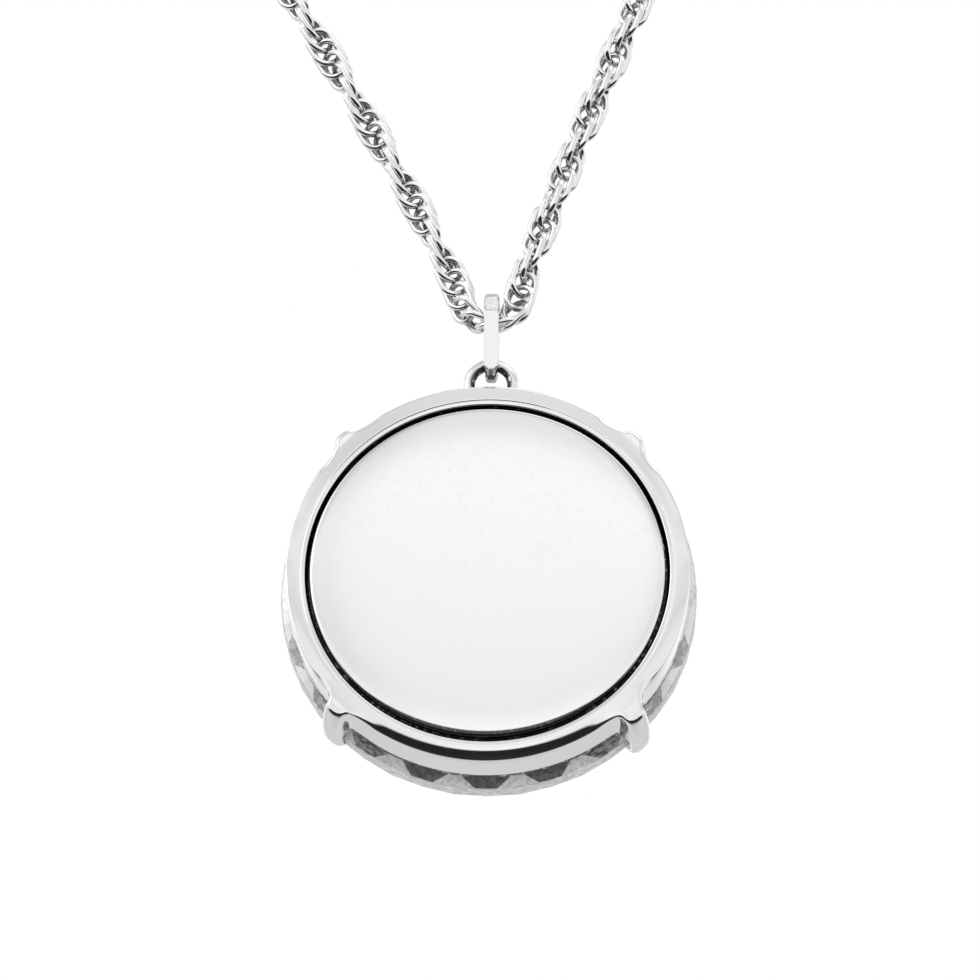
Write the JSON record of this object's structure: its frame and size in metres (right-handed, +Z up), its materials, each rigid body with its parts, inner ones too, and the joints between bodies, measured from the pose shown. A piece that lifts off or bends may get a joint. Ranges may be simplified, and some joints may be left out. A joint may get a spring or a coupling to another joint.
{
  "type": "crystal pendant necklace",
  "caption": "Round faceted crystal in a polished claw collar with a plain back plate, hung by a bail from a twisted rope chain.",
  "frame": {"origin": "nape of the necklace, at the middle of the closed clasp, where the chain sits on a neck or hangs", "axes": "+Z up, towards the nape from the pendant; +X to the right as seen from the pendant's back; +Y the way the crystal faces"},
  "size_m": [0.1088, 0.0091, 0.2243],
  "materials": {
    "crystal": "polished",
    "setting_metal": "polished",
    "plate_metal": "polished",
    "bail_metal": "polished",
    "chain_metal": "polished",
    "clasp_metal": "polished"
  },
  "bodies": {
    "necklace": {"chain": "chain_metal", "clasp": "clasp_metal"},
    "bail": {"bail": "bail_metal"},
    "pendant": {"crystal": "crystal", "claw_setting": "setting_metal", "back_plate": "plate_metal"}
  },
  "joints": [
    {"name": "bail_swing", "type": "hinge", "parent": "necklace", "child": "bail", "pos_m": [0, 0, -0.1865], "axis": [1, 0, 0], "range_deg": [-85, 85]},
    {"name": "pendant_sway", "type": "hinge", "parent": "bail", "child": "pendant", "pos_m": [0, 0, -0.19145], "axis": [0, 1, 0], "range_deg": [-60, 60]}
  ]
}
